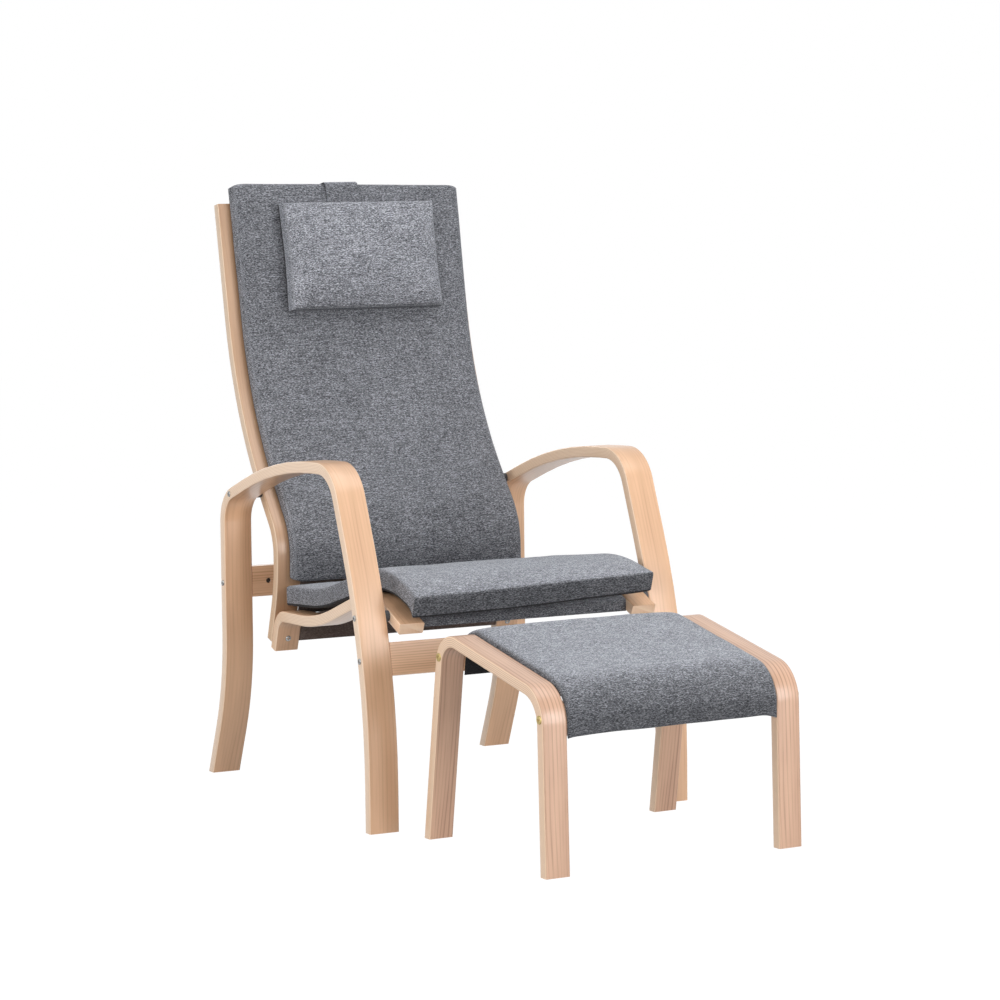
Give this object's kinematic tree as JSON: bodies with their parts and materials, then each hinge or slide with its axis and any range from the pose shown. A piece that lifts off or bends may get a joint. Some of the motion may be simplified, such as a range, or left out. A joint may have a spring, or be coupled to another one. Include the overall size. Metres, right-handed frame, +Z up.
{
  "type": "lounge chair with footstool",
  "caption": "Bentwood high-back lounge chair with bent arm frames, cushioned seat and back, an adjustable headrest pillow and a matching upholstered footstool.",
  "frame": {"origin": "centre of the footprint of chair and footstool together, on the floor", "axes": "the chair faces -Y, +X is across it towards the sitter's left arm as seen from the front, +Z up"},
  "size_m": [0.654, 1.318, 1.1442],
  "materials": {
    "pale_wood": "clear satin lacquer over pale bent laminate",
    "grey_cloth": "heathered mid-grey woven upholstery cloth",
    "brown_cloth": "dark brown plain sling cloth",
    "black_lining": "black non-woven lining",
    "yellow_zinc": "yellow zinc plating",
    "bright_zinc": "bright zinc plating",
    "nylon": "moulded black nylon"
  },
  "bodies": {
    "chair": {"left_arm_frame": "pale_wood", "right_arm_frame": "pale_wood", "rear_cross_rail": "pale_wood", "front_cross_rail": "pale_wood", "left_seat_rail": "pale_wood", "right_seat_rail": "pale_wood", "left_back_rail": "pale_wood", "right_back_rail": "pale_wood", "seat_sling": "brown_cloth", "front_bar_cover": "grey_cloth", "back_sling": "brown_cloth", "seat_cushion": "grey_cloth", "back_cushion": "grey_cloth", "rail_spacers": "nylon", "rail_insert_nuts": "bright_zinc", "cross_rail_barrel_nuts": "bright_zinc", "hook_bolts": "bright_zinc", "hook_nuts": "bright_zinc", "arm_to_back_bolts": "bright_zinc", "arm_to_seat_bolts": "bright_zinc", "rear_rail_bolts": "bright_zinc", "front_rail_bolts": "bright_zinc", "seat_front_bar": "pale_wood", "seat_rear_bar": "pale_wood", "back_top_bar": "pale_wood", "back_middle_bar": "pale_wood", "back_lower_bar": "pale_wood", "bar_dowels": "pale_wood"},
    "headrest": {"headrest_pillow": "grey_cloth", "headrest_strap": "grey_cloth"},
    "counterweight": {"headrest_counterweight": "grey_cloth"},
    "footstool": {"stool_left_frame": "pale_wood", "stool_right_frame": "pale_wood", "stool_front_rail": "pale_wood", "stool_rear_rail": "pale_wood", "stool_cushion": "grey_cloth", "stool_lining": "black_lining", "stool_bolts": "yellow_zinc", "stool_barrel_nuts": "bright_zinc"}
  },
  "joints": [
    {"name": "headrest_slide", "type": "slide", "parent": "chair", "child": "headrest", "axis": [0, 0.1993, 0.9799], "range_m": [-0.03, 0.05], "deforming": ["headrest_strap"]},
    {"name": "counterweight_slide", "type": "slide", "parent": "chair", "child": "counterweight", "axis": [0, 0.1993, 0.9799], "range_m": [-0.05, 0.03]},
    {"name": "footstool_slide", "type": "slide", "parent": "chair", "child": "footstool", "axis": [0, -1, 0], "range_m": [-0.02, 0.3]}
  ],
  "couplings": [
    {"joint": "counterweight_slide", "follows": "headrest_slide", "ratio": -1}
  ]
}
